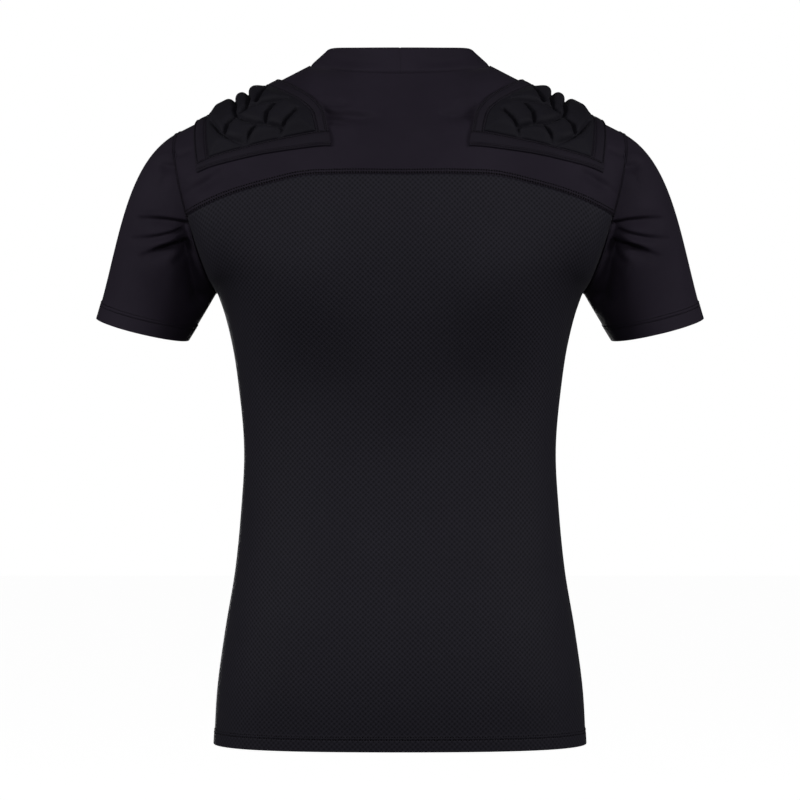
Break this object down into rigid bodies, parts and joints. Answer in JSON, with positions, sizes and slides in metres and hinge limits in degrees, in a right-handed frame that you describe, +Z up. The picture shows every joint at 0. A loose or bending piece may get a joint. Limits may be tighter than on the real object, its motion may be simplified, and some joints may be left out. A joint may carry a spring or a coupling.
{
  "type": "short-sleeved padded protective top",
  "caption": "Fitted short-sleeved protective top with a net back, jersey yoke, low stand collar and strip-framed foam shoulder pads, filled out as worn and empty.",
  "frame": {"origin": "between the shoulders at shoulder level, on the plane of the side and shoulder seams, where a wearer's shoulders hold the top", "axes": "+Z up, +X to the wearer's left, the front faces -Y and the back faces +Y"},
  "size_m": [0.603, 0.2516, 0.6941],
  "materials": {
    "jersey": "smooth stretch jersey, near black",
    "net": "fine open net knit, near black",
    "pad_cover": "moulded foam blocks under jersey, near black",
    "strip": "folded jersey strip, near black"
  },
  "bodies": {
    "root": {"back_panel": "net", "back_yoke": "jersey", "front_panel": "jersey", "sleeve_L": "jersey", "sleeve_R": "jersey", "collar": "jersey", "shoulder_pad_L": "pad_cover", "shoulder_pad_R": "pad_cover", "pad_strip_back_L": "strip", "pad_strip_back_R": "strip", "pad_strip_front_L": "strip", "pad_strip_front_R": "strip", "pad_strip_inner_L": "strip", "pad_strip_inner_R": "strip", "pad_strip_outer_L": "strip", "pad_strip_outer_R": "strip"}
  },
  "joints": []
}
